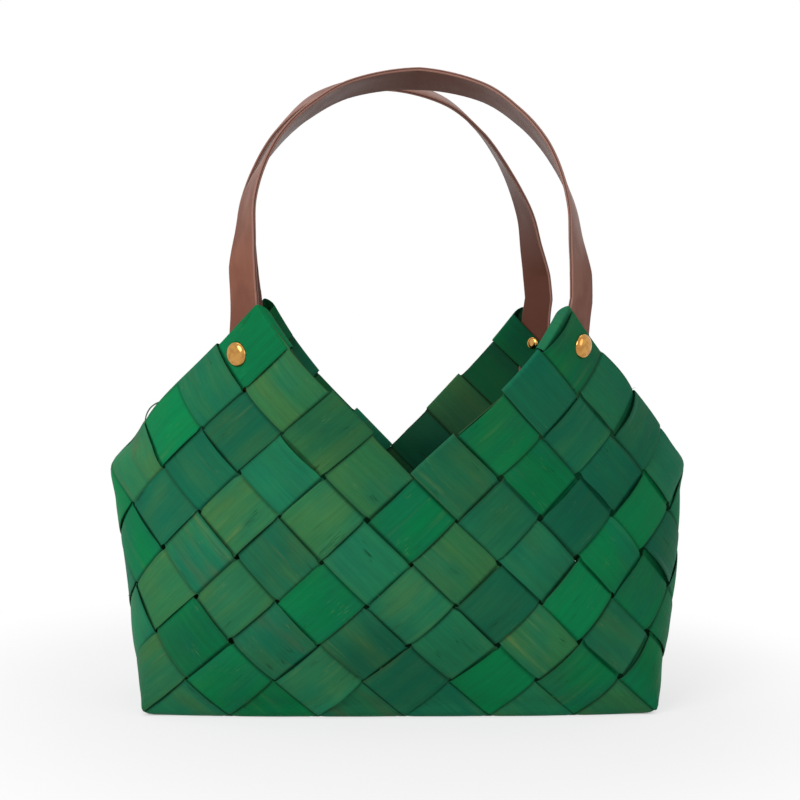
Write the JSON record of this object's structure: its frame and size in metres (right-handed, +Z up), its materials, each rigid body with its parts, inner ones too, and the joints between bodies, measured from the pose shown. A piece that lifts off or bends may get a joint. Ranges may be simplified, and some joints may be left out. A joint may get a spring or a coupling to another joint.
{
  "type": "woven bag",
  "caption": "Open-topped bag plaited on the bias from dyed wood-veneer strips, with a zigzag rim and riveted leather strap handles.",
  "frame": {"origin": "centre of the bag's foot, on the surface it stands on", "axes": "+Z up, +X to the right along the bag's length when seen from the front, front towards -Y"},
  "size_m": [0.3418, 0.198, 0.3769],
  "materials": {
    "veneer_bright": "dyed veneer, satin, fine grain along the strip",
    "veneer_mid": "dyed veneer, satin, fine grain along the strip",
    "veneer_olive": "dyed veneer, satin, fine grain along the strip",
    "veneer_teal": "dyed veneer, satin, fine grain along the strip",
    "leather": "smooth, soft sheen",
    "brass": "polished"
  },
  "bodies": {
    "bag": {"right_strip_1": "veneer_bright", "left_strip_1": "veneer_olive", "right_strip_2": "veneer_mid", "left_strip_2": "veneer_olive", "right_strip_3": "veneer_teal", "left_strip_3": "veneer_mid", "right_strip_4": "veneer_bright", "left_strip_4": "veneer_bright", "right_strip_5": "veneer_bright", "left_strip_5": "veneer_mid", "right_strip_6": "veneer_bright", "left_strip_6": "veneer_teal", "right_strip_7": "veneer_mid", "left_strip_7": "veneer_mid", "right_strip_8": "veneer_bright", "left_strip_8": "veneer_olive", "front_handle_left_tab": "leather", "front_handle_right_tab": "leather", "back_handle_left_tab": "leather", "back_handle_right_tab": "leather", "front_left_rivet_cap": "brass", "front_right_rivet_cap": "brass", "back_left_rivet_cap": "brass", "back_right_rivet_cap": "brass", "front_left_rivet_post": "brass", "front_right_rivet_post": "brass", "back_left_rivet_post": "brass", "back_right_rivet_post": "brass"},
    "front_handle": {"front_handle_loop": "leather"},
    "back_handle": {"back_handle_loop": "leather"}
  },
  "joints": [
    {"name": "front_handle_swing", "type": "hinge", "parent": "bag", "child": "front_handle", "pos_m": [0, -0.0806, 0.243], "axis": [1, 0, 0], "range_deg": [0, 120]},
    {"name": "back_handle_swing", "type": "hinge", "parent": "bag", "child": "back_handle", "pos_m": [0, 0.0806, 0.243], "axis": [-1, 0, 0], "range_deg": [0, 120]}
  ]
}
